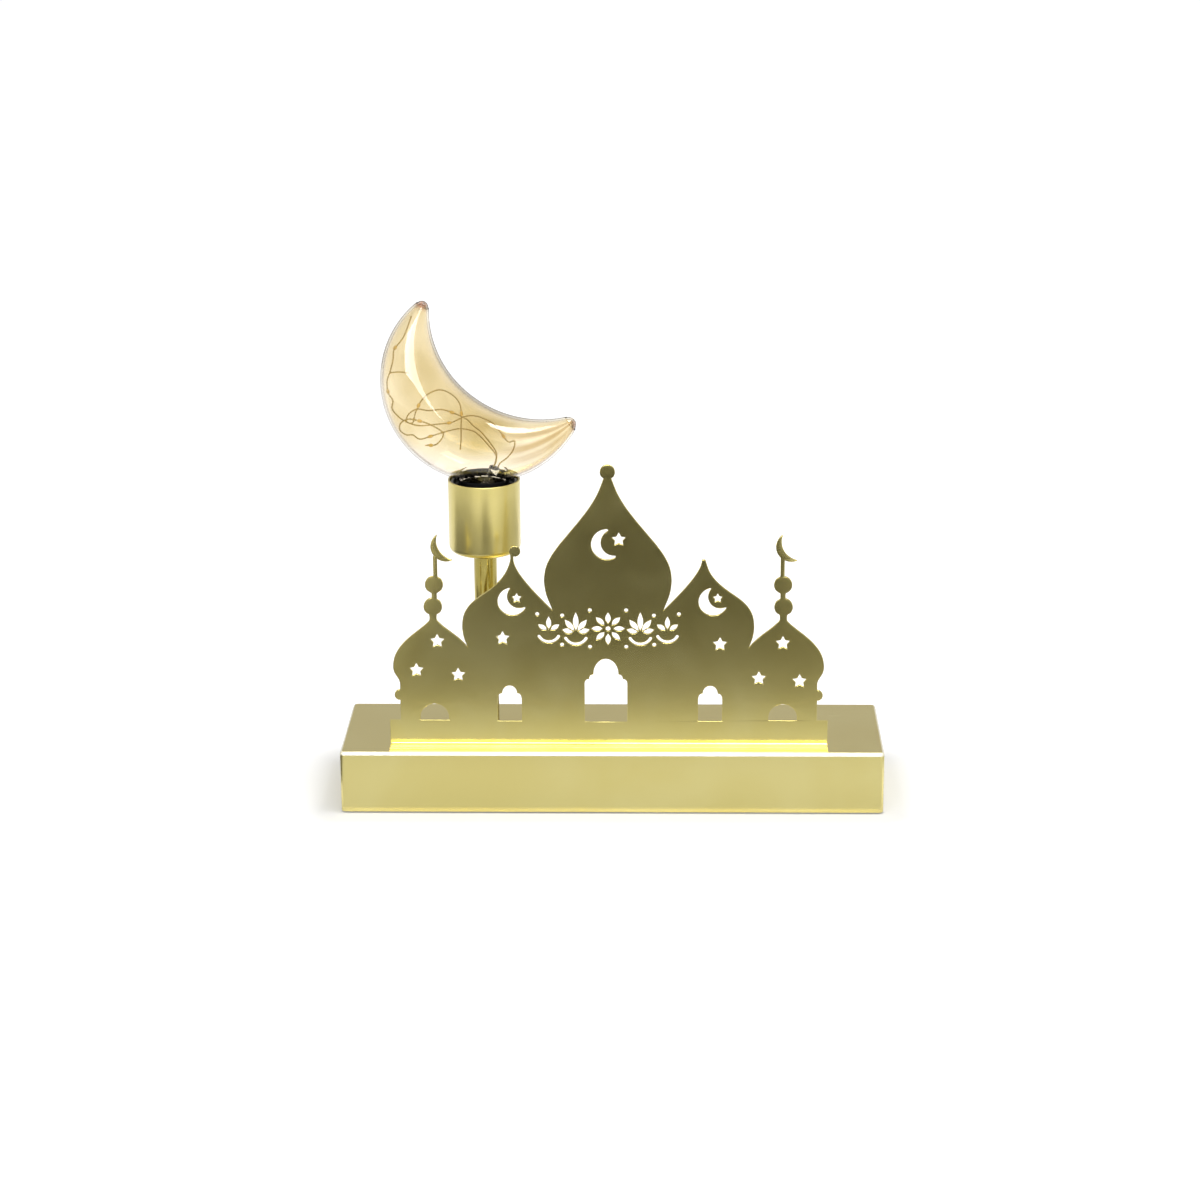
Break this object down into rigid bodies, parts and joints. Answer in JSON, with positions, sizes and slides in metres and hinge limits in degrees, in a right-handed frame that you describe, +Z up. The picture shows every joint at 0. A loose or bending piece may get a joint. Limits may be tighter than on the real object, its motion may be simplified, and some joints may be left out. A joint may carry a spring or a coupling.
{
  "type": "crescent moon table light",
  "caption": "Table light: folded gold base with a pierced mosque silhouette and a glass crescent moon with fairy wires on a short stem.",
  "frame": {"origin": "middle of the footprint, at the undersides of the feet", "axes": "+X to the right along the base, -Y to the front, +Z up"},
  "size_m": [0.3, 0.08, 0.2802],
  "materials": {
    "gold_sheet": "gold lacquer on sheet steel, semi-gloss",
    "black_plastic": "moulded, satin",
    "foot_rubber": "matte",
    "zinc_steel": "zinc plated",
    "nickel_plate": "nickel plated",
    "brass_contact": "plain",
    "copper_wire": "lacquered copper wire with small lamps",
    "amber_glass": "clear amber blown glass",
    "clear_glass": "clear",
    "porcelain": "glazed insulator",
    "red_sleeve": "soft wire sleeve",
    "black_sleeve": "soft wire sleeve",
    "cell_coat": "printed sleeve, plain"
  },
  "bodies": {
    "stand": {"base_shell": "gold_sheet", "mosque_panel": "gold_sheet", "stem_tube": "gold_sheet", "lamp_cup": "gold_sheet", "bottom_plate": "black_plastic", "battery_box": "black_plastic", "lampholder_body": "black_plastic", "foot_1": "foot_rubber", "foot_2": "foot_rubber", "foot_3": "foot_rubber", "foot_4": "foot_rubber", "cover_screw_1": "zinc_steel", "cover_screw_2": "zinc_steel", "cover_screw_3": "zinc_steel", "cover_screw_4": "zinc_steel", "box_screw_1": "zinc_steel", "box_screw_2": "zinc_steel", "switch_body": "zinc_steel", "threaded_rod": "zinc_steel", "base_nut": "zinc_steel", "base_washer": "zinc_steel", "cup_nut": "zinc_steel", "cup_washer": "zinc_steel", "contact_positive": "nickel_plate", "contact_negative": "nickel_plate", "contact_bridge_left": "nickel_plate", "contact_bridge_right": "nickel_plate", "holder_shell": "brass_contact", "centre_contact": "brass_contact", "contact_block": "porcelain", "lead_switch": "red_sleeve", "lead_live": "red_sleeve", "lead_return": "black_sleeve", "cell_1": "cell_coat", "cell_2": "cell_coat", "cell_3": "cell_coat"},
    "bulb": {"moon_envelope": "amber_glass", "glass_mount": "clear_glass", "fairy_wire_1": "copper_wire", "fairy_wire_2": "copper_wire", "fairy_wire_3": "copper_wire", "bulb_cap": "nickel_plate", "cap_insulator": "black_plastic", "cap_tip": "nickel_plate"},
    "door": {"battery_door": "black_plastic"},
    "knob": {"switch_knob": "black_plastic"}
  },
  "joints": [
    {"name": "bulb_lift", "type": "slide", "parent": "stand", "child": "bulb", "axis": [0, 0, 1], "range_m": [0, 0.03]},
    {"name": "door_hinge", "type": "hinge", "parent": "stand", "child": "door", "pos_m": [0.0165, 0, 0.0032], "axis": [0, 1, 0], "range_deg": [0, 90]},
    {"name": "switch_slide", "type": "slide", "parent": "stand", "child": "knob", "axis": [1, 0, 0], "range_m": [0, 0.004]}
  ]
}
